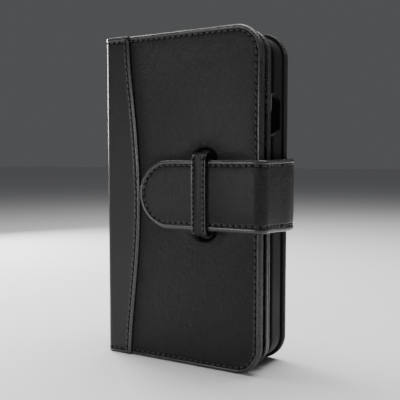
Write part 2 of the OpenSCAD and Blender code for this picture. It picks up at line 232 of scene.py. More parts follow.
def leather(name, base, grain, depth, roughness, coat):
    """Finished leather: pebbled grain of that size in millimetres, pores, handled sheen, worn edges."""
    material, surface, add, link = shader(name, base, roughness)
    place = add("ShaderNodeTexCoord").outputs["Object"]
    warp = add("ShaderNodeTexNoise", Vector=place, Scale=0.6 / (grain * MM), Detail=2.0)
    shift = add("ShaderNodeVectorMath", ("operation", "SCALE"), i0=warp.outputs["Color"],
                Scale=0.5 * grain * MM)
    moved = add("ShaderNodeVectorMath", i0=place, i1=shift.outputs["Vector"])
    pebbles = add("ShaderNodeTexVoronoi", ("feature", "DISTANCE_TO_EDGE"),
                  Vector=moved.outputs["Vector"], Scale=1.0 / (grain * MM))
    lines = add("ShaderNodeMapRange", Value=pebbles.outputs["Distance"], From_Max=0.22)
    pores = add("ShaderNodeTexNoise", Vector=place, Scale=3.2 / (grain * MM), Detail=3.0)
    creases = add("ShaderNodeTexNoise", Vector=place, Scale=95.0, Detail=5.0, Roughness=0.62)
    mottle = add("ShaderNodeTexNoise", Vector=place, Scale=0.42 / (grain * MM), Detail=2.0)
    sheen_map = add("ShaderNodeTexNoise", Vector=place, Scale=38.0, Detail=3.0)

    pebble_height = add("ShaderNodeMath", ("operation", "MULTIPLY"), i0=lines.outputs["Result"],
                        i1=remap(add, creases.outputs["Fac"], 0.35, 1.0))
    height = add("ShaderNodeMath", i0=pebble_height.outputs["Value"],
                 i1=remap(add, pores.outputs["Fac"], 0.0, 0.8))
    relief = add("ShaderNodeMath", i0=height.outputs["Value"],
                 i1=remap(add, mottle.outputs["Fac"], 0.0, 2.4))
    bump = add("ShaderNodeBump", Height=relief.outputs["Value"], Strength=depth, Distance=0.28 * MM)
    link(bump.outputs["Normal"], surface.inputs["Normal"])

    light = [min(1.0, c * 1.55) for c in base]
    dark = [c * 0.72 for c in base]
    mix_colour(add, link, creases.outputs["Fac"], dark, light, surface.inputs["Base Color"])
    wear = add("ShaderNodeMapRange", Value=add("ShaderNodeNewGeometry").outputs["Pointiness"],
               From_Min=0.505, From_Max=0.57, To_Max=0.16)
    rough = add("ShaderNodeMath", ("operation", "SUBTRACT"),
                i0=remap(add, sheen_map.outputs["Fac"], roughness - 0.06, roughness + 0.06),
                i1=wear.outputs["Result"])
    patchy = add("ShaderNodeMath", i0=rough.outputs["Value"],
                 i1=remap(add, mottle.outputs["Fac"], -0.10, 0.10))
    polish = add("ShaderNodeAttribute", ("attribute_name", "polish"))
    glossier = add("ShaderNodeMath", ("operation", "MULTIPLY_ADD"), i0=polish.outputs["Fac"], i1=-0.12,
                   i2=patchy.outputs["Value"])
    link(glossier.outputs["Value"], surface.inputs["Roughness"])
    waxed = add("ShaderNodeMath", ("operation", "MULTIPLY_ADD"), i0=polish.outputs["Fac"], i1=0.75, i2=coat)
    link(waxed.outputs["Value"], surface.inputs["Coat Weight"])
    surface.inputs["Coat Roughness"].default_value = 0.24
    surface.inputs["Specular IOR Level"].default_value = 0.27
    return material


def woven(name, base, thread_mm, roughness, sheen):
    """Fine cloth: two crossed sets of threads and a soft nap."""
    material, surface, add, link = shader(name, base, roughness)
    surface.inputs["Specular IOR Level"].default_value = 0.2
    place = add("ShaderNodeTexCoord").outputs["Object"]
    waves = []
    for direction in ("X", "Z"):
        wave = add("ShaderNodeTexWave", ("bands_direction", direction), Vector=place,
                   Scale=0.16 / (thread_mm * MM), Distortion=0.6)
        waves.append(wave.outputs["Fac"])
    weave = add("ShaderNodeMath", ("operation", "MULTIPLY"), i0=waves[0], i1=waves[1])
    nap = add("ShaderNodeTexNoise", Vector=place, Scale=2400.0, Detail=2.0)
    height = add("ShaderNodeMath", i0=weave.outputs["Value"], i1=nap.outputs["Fac"])
    bump = add("ShaderNodeBump", Height=height.outputs["Value"], Strength=0.45, Distance=0.08 * MM)
    link(bump.outputs["Normal"], surface.inputs["Normal"])
    mix_colour(add, link, weave.outputs["Value"], [c * 0.75 for c in base],
               [min(1.0, c * 1.3) for c in base], surface.inputs["Base Color"])
    surface.inputs["Sheen Weight"].default_value = sheen
    surface.inputs["Sheen Roughness"].default_value = 0.5
    return material


def moulded(name, base, roughness, grain_depth):
    """Moulded polymer with a fine spark-eroded texture and handled gloss."""
    material, surface, add, link = shader(name, base, roughness)
    surface.inputs["Specular IOR Level"].default_value = 0.14
    place = add("ShaderNodeTexCoord").outputs["Object"]
    spark = add("ShaderNodeTexNoise", Vector=place, Scale=3600.0, Detail=2.0)
    bump = add("ShaderNodeBump", Height=spark.outputs["Fac"], Strength=grain_depth, Distance=0.05 * MM)
    link(bump.outputs["Normal"], surface.inputs["Normal"])
    handled = add("ShaderNodeTexNoise", Vector=place, Scale=55.0, Detail=4.0)
    link(remap(add, handled.outputs["Fac"], roughness - 0.06, roughness + 0.08),
         surface.inputs["Roughness"])
    mix_colour(add, link, handled.outputs["Fac"], [c * 0.85 for c in base],
               [min(1.0, c * 1.25) for c in base], surface.inputs["Base Color"])
    return material


def fibrous(name, base, scale, roughness):
    """Pressed board, foam, or the near-black painted shade inside holes and slots: speckled fibres with a
    rough face.
    """
    material, surface, add, link = shader(name, base, roughness)
    surface.inputs["Specular IOR Level"].default_value = 0.1
    place = add("ShaderNodeTexCoord").outputs["Object"]
    specks = add("ShaderNodeTexNoise", Vector=place, Scale=scale, Detail=6.0, Roughness=0.7)
    mix_colour(add, link, specks.outputs["Fac"], [c * 0.7 for c in base],
               [min(1.0, c * 1.2) for c in base], surface.inputs["Base Color"])
    bump = add("ShaderNodeBump", Height=specks.outputs["Fac"], Strength=0.4, Distance=0.1 * MM)
    link(bump.outputs["Normal"], surface.inputs["Normal"])
    return material


def twisted_thread(name, base):
    """Waxed thread: slanting plies with a dull gloss."""
    material, surface, add, link = shader(name, base, 0.5)
    place = add("ShaderNodeTexCoord").outputs["Object"]
    plies = add("ShaderNodeTexWave", ("bands_direction", "DIAGONAL"), Vector=place, Scale=900.0,
                Distortion=1.5)
    bump = add("ShaderNodeBump", Height=plies.outputs["Fac"], Strength=0.5, Distance=0.06 * MM)
    link(bump.outputs["Normal"], surface.inputs["Normal"])
    mix_colour(add, link, plies.outputs["Fac"], [c * 0.7 for c in base], [c * 1.6 for c in base],
               surface.inputs["Base Color"])
    surface.inputs["Sheen Weight"].default_value = 0.15
    return material


def studio_floor(name, base):
    """Pale, almost smooth studio paper."""
    material, surface, add, link = shader(name, base, 0.75)
    place = add("ShaderNodeTexCoord").outputs["Object"]
    tone = add("ShaderNodeTexNoise", Vector=place, Scale=9.0, Detail=3.0)
    mix_colour(add, link, tone.outputs["Fac"], [c * 0.97 for c in base],
               [min(1.0, c * 1.03) for c in base], surface.inputs["Base Color"])
    return material


MAKERS = {
    "hide": lambda c: leather("fine_grain_hide", c.hide, 0.95, 1.0, 0.41, 0.03),
    "strap_hide": lambda c: leather("strap_hide", c.hide, 1.0, 1.0, 0.39, 0.04),
    "spine_hide": lambda c: leather("smooth_spine_hide", c.spine, 0.60, 0.24, 0.40, 0.03),
    "pocket": lambda c: leather("pocket_leather", c.pocket, 0.60, 0.35, 0.46, 0.03),
    # The painted shade of holes and slots uses the speckled fibrous finish in a near-black colour.
    "hole_shade": lambda c: fibrous("painted_hole_shade", c.hole_shade, 1500.0, 1.0),
    "lining": lambda c: woven("lining_cloth", c.lining, 0.28, 0.80, 0.12),
    "tray": lambda c: moulded("tray_polymer", c.tray, 0.52, 0.30),
    "thread": lambda c: twisted_thread("waxed_thread", c.thread),
    "board": lambda c: fibrous("grey_board", c.board, 900.0, 0.85),
    "foam": lambda c: fibrous("padding_foam", c.foam, 1800.0, 0.95),
    "floor": lambda c: studio_floor("studio_floor", c.floor),
}
_made = {}


def finish_of(kind):
    """The material of that kind, made once."""
    if kind not in _made:
        _made[kind] = MAKERS[kind](colours())
    return _made[kind]


# ---------- flat sheets ----------

def ease(t):
    """A smooth step from 0 to 1, flat at both ends."""
    t = np.clip(t, 0.0, 1.0)
    return t * t * (3.0 - 2.0 * t)


def spaced(low, high, step):
    """Evenly spaced values from low to high or down to it, about a step apart."""
    gap = abs(high - low)
    return np.array([low]) if gap < 1e-6 else np.linspace(low, high, max(1, round(gap / step)) + 1)


def ring_faces(rings, sides, first=0):
    """Quads between closed rings of points, numbered ring by ring."""
    return [[first + k * sides + s, first + k * sides + (s + 1) % sides,
             first + (k + 1) * sides + (s + 1) % sides, first + (k + 1) * sides + s]
            for k in range(rings - 1) for s in range(sides)]


def grid_faces(rows, columns, first=0):
    """Quads of a grid of points numbered row by row."""
    index = first + np.arange(rows * columns).reshape(rows, columns)
    return np.stack([index[:-1, :-1], index[1:, :-1], index[1:, 1:], index[:-1, 1:]], -1).reshape(-1, 4)


def rim(patch, thickness, seam_inset=0.0, channel=0.28, bead=0.08, edge=0.9, back_edge=0.5,
        hollow=False):
    """A sheet's edge as (inset, depth, share of relief) from its flat face round to its back.

    A seam leaves a channel with a bead outside it. A hollow sheet is a turned hide that wraps a board.
    """
    fine_end = seam_inset + 1.6 if seam_inset else edge + 0.4
    flats = list(spaced(patch, fine_end, 1.3)[:-1]) + list(spaced(fine_end, edge, 0.26))

    def face(inset):
        if not seam_inset:
            return 0.0
        dip = channel * math.exp(-((inset - seam_inset) / 0.48) ** 2)
        return dip - bead * math.exp(-((inset - 0.52 * seam_inset) / 0.5) ** 2)

    points = []
    for inset in flats:
        inward = (inset - seam_inset - 0.5) / 2.2 if seam_inset else (inset - edge) / 2
        points.append((inset, face(inset), float(ease(inward))))
    top = face(edge)
    for turn in spaced(0.0, math.pi / 2, math.pi / 12)[1:]:
        points.append((edge * (1 - math.sin(turn)), top + edge * (1 - math.cos(turn)), 0.0))
    for turn in spaced(0.0, math.pi / 2, math.pi / 8):
        points.append((back_edge * (1 - math.cos(turn)), thickness - back_edge * (1 - math.sin(turn)), 0.0))
    if hollow:
        points += [(TURN_T, thickness, 0.0), (TURN_T, HIDE_T, 0.0)]
    last = points[-1]
    if last[0] < patch:
        points.append((patch, last[1], 0.0))
    return points


def corner_reach(angles, reach, radius):
    """Where rays from the inner point of a corner meet a square with one rounded corner."""
    c, s = np.cos(angles), np.sin(angles)
    hit = reach / np.maximum(c, s)
    flat = reach - radius
    if radius > 0:
        inside = np.maximum(flat * flat * (c + s) ** 2 - 2 * flat * flat + radius * radius, 0.0)
        on_arc = reach * np.minimum(c, s) / np.maximum(c, s) > flat
        hit = np.where(on_arc, flat * (c + s) + np.sqrt(inside), hit)
    return hit * c, hit * s


def nearest(points, others):
    """Distance from each point to the nearest of the others."""
    best = np.full(len(points), 1e9)
    for other in others:
        best = np.minimum(best, np.hypot(points[:, 0] - other[0], points[:, 1] - other[1]))
    return best


def sheet(box, radius, edge, step, relief=None, holes=None, round_left=False, patch=None, arc_steps=18):
    """A closed sheet in flat coordinates: a face, a rim round three or four sides and a back.

    Each point carries how much its spot is polished: fully on the rim, not at all inside the seam.
    box is (u0, u1, v0, v1). Without round_left the side at u0 is a plain cut.
    """
    u0, u1, v0, v1 = box
    patch = patch or radius
    insets, depths, shares = np.array(edge, float).T
    left = u0 + patch if round_left else u0
    us, vs = spaced(left, u1 - patch, step), spaced(v0 + patch, v1 - patch, step)
    angles = np.linspace(0.0, math.pi / 2, arc_steps + 1)
    blocks = []

    def block(u, v, depth, share):
        shape = np.broadcast_shapes(np.shape(u), np.shape(v), np.shape(depth))
        blocks.append(np.stack([np.broadcast_to(a, shape) for a in (u, v, depth, share)], -1))

    for end in (0, -1):
        block(us[:, None], vs[None, :], depths[end], shares[end])
    for v in (v0 + insets, v1 - insets):
        block(us[:, None], v[None, :], depths[None, :], shares[None, :])
    sides = [(u1, -1)] + ([(u0, 1)] if round_left else [])
    for side, inward in sides:
        block((side + inward * insets)[None, :], vs[:, None], depths[None, :], shares[None, :])
        for row, up in ((v0 + patch, -1), (v1 - patch, 1)):
            du, dv = zip(*[corner_reach(angles, patch - i, max(radius - i, 0.0)) for i in insets])
            block(side + inward * patch - inward * np.array(du).T, row + up * np.array(dv).T,
                  depths[None, :], shares[None, :])

    faces, first = [], 0
    for b in blocks:
        if b.shape[0] > 1 and b.shape[1] > 1:
            faces += grid_faces(b.shape[0], b.shape[1], first).tolist()
        first += b.shape[0] * b.shape[1]
    points = np.concatenate([b.reshape(-1, 4) for b in blocks])
    if not round_left:
        offsets = np.cumsum([0] + [b.shape[0] * b.shape[1] for b in blocks])
        rows, ring = len(vs), len(insets)
        low = [offsets[2] + k for k in range(ring)]
        high = [offsets[3] + k for k in range(ring)]
        faces.append(low[::-1] + [offsets[0] + j for j in range(rows)][1:-1] + high
                     + [offsets[1] + j for j in range(rows)][::-1][1:-1])

    flat = points[:, :3].copy()
    if relief is not None:
        room = np.minimum(np.minimum(u1 - flat[:, 0], flat[:, 1] - v0), v1 - flat[:, 1])
        flat[:, 2] += relief(points[:, 0], points[:, 1], room) * points[:, 3]
    if holes is not None:
        facing = points[:, 2] < 0.45 * depths[-1]
        reach = nearest(points[:, :2], holes)
        flat[:, 2] += np.where(facing, 0.22 * np.exp(-(reach / 0.55) ** 2), 0.0)
    polish = np.where(points[:, 2] < 0.5 * depths[-1], np.clip(1.0 - 12.0 * points[:, 3], 0, 1), 0.0)
    return np.column_stack([flat, polish]), faces


def seam_holes(box, radius, inset, pitch, round_left=False, start=0.0):
    """Needle holes an even pitch apart, round the sewn sides of a sheet."""
    u0, u1, v0, v1 = box
    r = max(radius - inset, 0.4)
    right, low, high = u1 - inset, v0 + inset, v1 - inset
    quarter = np.linspace(0.0, math.pi / 2, 15)
    line = [(u0 + start, low)]
    line += [(right - r + r * math.sin(a), low + r - r * math.cos(a)) for a in quarter]
    line += [(right - r + r * math.cos(a), high - r + r * math.sin(a)) for a in quarter]
    line += [(u0 + start, high)]
    if round_left:
        left = u0 + inset
        line = line[1:-1]
        line += [(left + r - r * math.sin(a), high - r + r * math.cos(a)) for a in quarter]
        line += [(left + r - r * math.cos(a), low + r - r * math.sin(a)) for a in quarter]
        line.append(line[0])
    return even_points(np.array(line), pitch)


def even_points(line, pitch):
    """Points an even pitch apart along a line."""
    run = np.concatenate([[0.0], np.cumsum(np.hypot(*np.diff(line, axis=0).T))])
    at = np.linspace(0.0, run[-1], max(2, round(run[-1] / pitch)) + 1)
    return np.stack([np.interp(at, run, line[:, k]) for k in (0, 1)], -1)


def stitches(holes, floor):
    """One arched run of thread between each two holes, in flat coordinates."""
    radius, sides = in_mm("thread"), 8
    along = np.array([0.0, 0.06, 0.2, 0.5, 0.8, 0.94, 1.0])
    girth = np.array([0.45, 0.85, 1.0, 1.05, 1.0, 0.85, 0.45]) * radius
    lift = floor + 0.16 - 0.34 * np.sin(np.pi * along) ** 0.6
    around = np.linspace(0.0, 2 * math.pi, sides, endpoint=False)
    points, faces = [], []
    for a, b in zip(holes[:-1], holes[1:]):
        way = b - a
        gap = np.hypot(*way)
        if gap < 0.5:
            continue
        way = way / gap
        across = np.array([-way[1], way[0]])
        slant = 0.10 * across
        p, q = a + 0.34 * way - slant, b - 0.34 * way + slant
        first = len(points)
        for t, g, d in zip(along, girth, lift):
            centre = p + (q - p) * t
            for angle in around:
                uv = centre + across * g * math.cos(angle)
                points.append((uv[0], uv[1], d + g * math.sin(angle)))
        faces += ring_faces(len(along), sides, first)
        faces.append([first + s for s in range(sides)])
        faces.append([first + (len(along) - 1) * sides + s for s in range(sides)])
    return np.array(points), faces


# ---------- laying sheets in the case ----------

def on_plane(y, direction):
    """Lays a sheet flat on an upright plane: its back lies that way along y from its face."""
    return lambda f: np.stack([f[:, 0], y + direction * f[:, 2], f[:, 1]], -1)


class RoundedPath:
    """Straight runs in a plane with rounded corners, measured along their length."""

    def __init__(self, corners, radius):
        corners = [np.array(c, float) for c in corners]
        ways = [(b - a) / np.linalg.norm(b - a) for a, b in zip(corners[:-1], corners[1:])]
        self.runs, self.length = [], 0.0
        at = corners[0]
        for k, way in enumerate(ways):
            last = k == len(ways) - 1
            trim = 0.0 if last else radius
            end = corners[k + 1] - way * trim
            self._add(at, way, np.linalg.norm(end - at), 0.0, 0.0)
            if not last:
                turn = np.sign(way[0] * ways[k + 1][1] - way[1] * ways[k + 1][0])
                self._add(end, way, radius * math.pi / 2, radius, turn)
                at = corners[k + 1] + ways[k + 1] * radius

    def _add(self, start, way, run, radius, turn):
        self.runs.append((self.length, run, start, way, radius, turn))
        self.length += run

    def at(self, s):
        """Points and directions at those lengths. Beyond an end, the path runs straight on."""
        place, heading = np.zeros((len(s), 2)), np.zeros((len(s), 2))
        for n, (begin, run, start, way, radius, turn) in enumerate(self.runs):
            low = -1e9 if n == 0 else begin
            high = 1e9 if n == len(self.runs) - 1 else begin + run
            inside = (s >= low) & (s < high)
            t = s[inside] - begin
            if radius:
                a = turn * t / radius
                normal = turn * np.array([-way[1], way[0]])
                heading[inside] = np.stack([way[0] * np.cos(a) - way[1] * np.sin(a),
                                            way[0] * np.sin(a) + way[1] * np.cos(a)], -1)
                out = -normal
                spun = np.stack([out[0] * np.cos(a) - out[1] * np.sin(a),
                                 out[0] * np.sin(a) + out[1] * np.cos(a)], -1)
                place[inside] = start + normal * radius + spun * radius
            else:
                heading[inside] = way
                place[inside] = start + t[:, None] * way
        return place, heading


def round_spine_or_side(path, side, thickness, reshape=None):
    """Wraps a sheet round an upright path in plan: side 1 faces right of the path, -1 left."""
    def lay(f):
        u = f[:, 0] if reshape is None else reshape(f[:, 0], f[:, 1])
        place, heading = path.at(u)
        out = side * np.stack([heading[:, 1], -heading[:, 0]], -1)
        place = place + out * (thickness / 2 - f[:, 2])[:, None]
        return np.stack([place[:, 0], place[:, 1], f[:, 1]], -1)
    return lay


def build(name, flat, faces, lay, finish, smooth_angle=38.0):
    """Makes a mesh object of a flat sheet laid in the case, with doubled points joined."""
    keys = np.round(flat[:, :3] * 1e4 + 0.3137).astype(np.int64)
    _, kept, joined = np.unique(keys, axis=0, return_index=True, return_inverse=True)
    joined = joined.reshape(-1)
    placed = lay(flat[kept, :3].copy()) * MM + np.array(ORIGIN)
    clean = []
    for face in faces:
        loop = []
        for i in (int(joined[k]) for k in face):
            if not loop or loop[-1] != i:
                loop.append(i)
        if loop[0] == loop[-1]:
            loop.pop()
        if len(set(loop)) >= 3:
            clean.append(loop)
    mesh = bpy.data.meshes.new(name)
    mesh.from_pydata(placed.tolist(), [], clean)
    if flat.shape[1] > 3:
        mesh.attributes.new("polish", "FLOAT", "POINT").data.foreach_set("value", flat[kept, 3])
    return dress(bpy.data.objects.new(name, mesh), finish, smooth_angle)


def dress(piece, finish, smooth_angle=38.0):
    """Links a piece, turns its faces outward, smooths it and gives it its material."""
    work = bmesh.new()
    work.from_mesh(piece.data)
    bmesh.ops.remove_doubles(work, verts=work.verts, dist=1e-7)
    bmesh.ops.recalc_face_normals(work, faces=work.faces)
    work.to_mesh(piece.data)
    work.free()
    if piece.name not in bpy.context.scene.collection.objects:
        bpy.context.scene.collection.objects.link(piece)
    for polygon in piece.data.polygons:
        polygon.use_smooth = True
    piece.data.set_sharp_from_angle(angle=math.radians(smooth_angle))
    piece.data.materials.clear()
    piece.data.materials.append(finish_of(finish))
    return piece


def needle_hole_shades(holes, floor):
    """A slanting near-black mark of painted shade where each stitch goes down through the leather, standing
    in for the shadow inside its needle hole.
    """
    half_long, half_wide, half_deep, slant, sides, rings = 0.78, 0.35, 0.22, 0.70, 10, 6
    points, faces = [], []
    ways = np.gradient(holes, axis=0)
    for centre, (a, b) in zip(holes, ways / np.hypot(*ways.T)[:, None]):
        along = np.array([a * math.cos(slant) - b * math.sin(slant),
                          a * math.sin(slant) + b * math.cos(slant)])
        across = np.array([-along[1], along[0]])
        first = len(points)
        for ring in range(rings + 1):
            polar = math.pi * ring / rings
            for side in range(sides):
                t = 2 * math.pi * side / sides
                uv = (centre + along * half_long * math.sin(polar) * math.cos(t)
                      + across * half_wide * math.sin(polar) * math.sin(t))
                points.append((uv[0], uv[1], floor - half_deep * math.cos(polar)))
        faces += ring_faces(rings + 1, sides, first)
    return np.array(points), faces


def thread_row(name, holes, floor, lay, ride=None, blend=None):
    """The thread and the painted needle-hole shade of one seam, set to ride a body, or baked in place when
    blend is given; the bodies and points in blend are not used.
    """
    points, faces = stitches(holes, floor)
    rows = [build(name, points, faces, lay, "thread", 60.0)]
    # Each needle hole gets a near-black mark of painted shade.
    points, faces = needle_hole_shades(holes, floor - 0.06)
    rows.append(build(name.replace("thread", "needle_hole_shades"), points, faces, lay, "hole_shade", 60.0))
    for row in rows:
        if ride:
            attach(row, ride)
        if blend:
            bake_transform(row)


def cut(piece, cutter):
    """Cuts a closed shape out of a piece and removes the cutter."""
    bpy.context.scene.collection.objects.link(cutter)
    change = piece.modifiers.new("cut", "BOOLEAN")
    change.operation, change.solver, change.object = "DIFFERENCE", "EXACT", cutter
    graph = bpy.context.evaluated_depsgraph_get()
    cut_mesh = bpy.data.meshes.new_from_object(piece.evaluated_get(graph))
    piece.modifiers.clear()
    piece.data = cut_mesh
    bpy.data.objects.remove(cutter)


def rounded_corners(x0, x1, z0, z1, radius, steps=12):
    """Goes round an opening's corners: each point's corner centre and its way out from there."""
    for cx, cz, quarter in ((x1 - radius, z1 - radius, 0), (x0 + radius, z1 - radius, 1),
                            (x0 + radius, z0 + radius, 2), (x1 - radius, z0 + radius, 3)):
        for k in range(steps + 1):
            angle = math.pi / 2 * (quarter + k / steps)
            yield cx, cz, math.cos(angle), math.sin(angle)


def rounded_cutter(x0, x1, z0, z1, y0, y1, radius):
    """A block with four rounded corners, to cut an opening along y."""
    outline = [(cx + radius * out_x, cz + radius * out_z)
               for cx, cz, out_x, out_z in rounded_corners(x0, x1, z0, z1, radius)]
    return prism([(x, y0, z) for x, z in outline], [(x, y1, z) for x, z in outline])


def prism(low, high):
    """A closed block between two matching outlines, in case millimetres."""
    count = len(low)
    mesh = bpy.data.meshes.new("cutter")
    faces = ring_faces(2, count) + [list(range(count)), list(range(count, 2 * count))[::-1]]
    mesh.from_pydata([tuple(to_frame(*p)) for p in low + high], [], faces)
    work = bmesh.new()
    work.from_mesh(mesh)
    bmesh.ops.recalc_face_normals(work, faces=work.faces)
    work.to_mesh(mesh)
    work.free()
    return bpy.data.objects.new("cutter", mesh)


# ---------- shapes shared by several pieces ----------

def flap_bulge(v):
    """Extra reach of the spine hide at a height, as a share of its greatest."""
    return (0.5 - 0.5 * np.cos(2 * np.pi * np.clip(v / CASE_H, 0, 1))) ** 0.75


def flap_reach(v):
    """Distance of the spine hide's sewn edge from the spine at a height."""
    return in_mm("flap") + in_mm("flap_bulge") * flap_bulge(v)


def slow_waves(u, v, seed):
    """Gentle unevenness of soft leather, about a tenth of a millimetre high."""
    waves = 0.0
    for k in range(1, 6):
        a, b = math.sin(seed * 3.1 + k * 1.7), math.cos(seed * 1.3 + k * 2.3)
        waves = waves + np.sin((a * u + b * v) * (0.05 + 0.035 * k) + seed + k * k) / (1 + 0.6 * k)
    return 0.035 * waves


def slot_shape(u, v, sign):
    """Distance beyond a keeper slot's oval outline, negative inside, and the angle round it."""
    du = (u - SLOT_X) / (in_mm("slot_width") / 2)
    dv = (sign * (v - STRAP_Z) - SLOT_MIDDLE) / (in_mm("slot_height") / 2)
    reach = np.hypot(du, dv)
    return (reach - 1.0) * in_mm("slot_height") / 2, np.arctan2(dv, du)


def front_relief(u, v, room):
    """Padding, the press of the strap, and the pull of the keeper on the front hide."""
    under_flap = ease((u - flap_reach(v) - 0.5) / 7.0)
    strap_gap = np.abs(v - STRAP_Z) - STRAP_HALF_W
    pressed = np.where(u > TONGUE_LO[0] - 5.0, 1.0 - ease((strap_gap + 0.5) / 5.0), 0.0)
    pressed = pressed * ease((u - TONGUE_LO[0] + 5.0) / 5.0)
    depth = -in_mm("crown") * ease(room / 15.0) * under_flap * (1.0 - pressed)
    depth = depth + slow_waves(u, v, 1.0) * under_flap * (1.0 - pressed)
    for sign in (-1, 1):
        away, angle = slot_shape(u, v, sign)
        near = np.maximum(away, 0.0)
        beyond = ease((sign * (v - STRAP_Z) - SLOT_REACH + 4.5) / 3.0)
        depth = depth + 0.55 * np.exp(-(near / 3.2) ** 2) * beyond
        ripple = np.sin(11.0 * angle + 1.3) * np.exp(-near / 4.5) * ease(near / 1.5)
        depth = depth + 0.16 * ripple * beyond
        depth = depth + 1.5 * ease(0.5 - away / 1.2)
    return depth


def soft_relief(seed, crown=0.0, still=-1.0):
    """Slight unevenness and a crown, dying out towards u = still where two halves meet."""
    def relief(u, v, room):
        share = ease((u - still) / 8.0) if still >= 0 else 1.0
        return (slow_waves(u, v, seed) - crown * ease(room / 8.0)) * share
    return relief


# ---------- pieces ----------

def front_cover_pieces():
    """The front hide with its padding's swell, its lining and their seams."""
    corner, pitch, seam = in_mm("corner"), in_mm("pitch"), in_mm("seam")
    box = (COVER_LO[0], CASE_W, 0.0, CASE_H)
    holes = seam_holes(box, corner, seam, pitch)
    lay = on_plane(0.0, 1)
    flat, faces = sheet(box, corner, rim(corner, COVER_HI[1], seam, 0.45, 0.36, 1.3, hollow=True), 0.7,
                        front_relief, holes)
    hide = build("front_cover_hide", flat, faces, lay, "hide")
    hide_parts("front_leather")
    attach(hide, "front_cover")
    thread_row("front_cover_thread", holes, 0.26, lay, ride="front_cover")

    cover_lining("front", LINING_LO, LINING_HI, -1, 1.1, soft_relief(2.0))


def cover_lining(cover, low, high, way, step, relief=None, opening=None):
    """The cloth inside a cover. Its face looks into the case, and its back lies that way along y."""
    corner, seam = in_mm("corner") - LINING_EDGE, in_mm("seam")
    box = (low[0], CASE_W - LINING_EDGE, LINING_EDGE, CASE_H - LINING_EDGE)
    holes = seam_holes(box, corner, seam, in_mm("pitch"))
    lay = on_plane(low[1] if way > 0 else high[1], way)
    flat, faces = sheet(box, corner, rim(corner, high[1] - low[1], seam, 0.2, 0.04, 0.45, 0.3),
                        step, relief, holes)
    lining = build(f"{cover}_cover_lining", flat, faces, lay, "lining")
    if opening:
        cut(lining, rounded_cutter(*opening, low[1] - 1, high[1] + 1, in_mm("camera_corner")))
        dress(lining, "lining")
    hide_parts(f"{cover}_lining")
    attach(lining, f"{cover}_cover")
    thread_row(f"{cover}_lining_thread", holes, 0.16, lay, ride=f"{cover}_cover")


def pocket_piece(node, body, face_y, direction, seed):
    """A pocket ply with a thumb scoop in its open edge and a sewn border."""
    low, high = span(node)
    thickness = high[1] - low[1]
    box = (low[0], high[0], low[2], high[2])
    middle, scoop_half, scoop = (low[2] + high[2]) / 2, 9.0, 5.0

    def lay(f):
        u = f[:, 0].copy()
        reach = ease((u - (box[1] - 11.0)) / 6.0)
        dip = 0.5 + 0.5 * np.cos(np.pi * np.clip((f[:, 1] - middle) / scoop_half, -1, 1))
        u = u - scoop * dip * reach
        return np.stack([u, face_y + direction * f[:, 2], f[:, 1]], -1)

    holes = seam_holes(box, 1.2, 1.5, in_mm("pitch") * 0.85)
    closed = holes[(holes[:, 0] < box[1] - 1.6)]
    low_row = closed[closed[:, 1] < middle]
    high_row = closed[closed[:, 1] > middle]
    flat, faces = sheet(box, 1.0, rim(4.0, thickness, 1.5, 0.1, 0.03, 0.22, 0.15), 0.9,
                        soft_relief(seed), closed, patch=4.0, arc_steps=8)
    piece = build(node + "_ply", flat, faces, lay, "pocket")
    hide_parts(node)
    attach(piece, body)
    for k, row in enumerate((low_row, high_row), 1):
        thread_row(f"{node}_thread_{k}", row, 0.08, lay, ride=body)


def front_pocket_pieces():
    """The cash pocket and the three card pockets on the front lining."""
    nodes = ("front_cash_pocket", "front_card_pocket_1", "front_card_pocket_2", "front_card_pocket_3")
    for k, node in enumerate(nodes):
        pocket_piece(node, "front_cover", span(node)[1][1], -1, 3.0 + k)


def spine_pieces():
    """The spine hide, in two halves that meet at its middle and run onto the covers."""
    pitch, seam = in_mm("pitch"), in_mm("seam")
    bend_r = 2.6 - HIDE_T / 2
    parts = (("spine_hide_front", -1, "spine", "front_cover", ("spine_flap_front", "spine_leather")),
             ("spine_hide_back", 1, "spine", "back_cover", ("spine_flap_back",)))
    for name, way, inner, outer, nodes in parts:
        face_y = SPINE_LO[1] if way < 0 else SPINE_HI[1]
        mid_y = face_y - way * HIDE_T / 2
        path = RoundedPath([(HIDE_T / 2, SPINE_MID), (HIDE_T / 2, mid_y), (FAR_X, mid_y)], bend_r)
        run_on_cover = path.length - FAR_X
        end = run_on_cover + in_mm("flap")
        box = (0.0, end, 0.0, CASE_H)
        crease = run_on_cover + 5.0

        def reshape(u, v, end=end, crease=crease):
            return u + in_mm("flap_bulge") * flap_bulge(v) * ease((u - crease) / (end - crease - 4.2))

        lay = round_spine_or_side(path, -way, HIDE_T, reshape)
        holes = even_points(np.array([(end - seam, 0.9), (end - seam, CASE_H - 0.9)]), pitch)
        rims = [even_points(np.array([(2.0, v), (end - seam, v)]), pitch) for v in (seam, CASE_H - seam)]
        all_holes = np.concatenate([holes, *rims])
        flat, faces = sheet(box, 0.7, rim(5.0, HIDE_T, seam, 0.30, 0.30, 0.55, 0.35), 0.8,
                            soft_relief(7.0 + way, still=0.0), all_holes, patch=5.0, arc_steps=10)
        hide = build(name, flat, faces, lay, "spine_hide")
        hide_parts(*nodes)
        bend = (inner, outer, to_frame(0.0, face_y - way * 4.5, 0.0), to_frame(6.5, face_y, 0.0))
        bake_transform(hide)
        for k, row in enumerate((holes, *rims), 1):
            thread_row(f"{name}_thread_{k}", row, 0.2, lay, blend=bend)


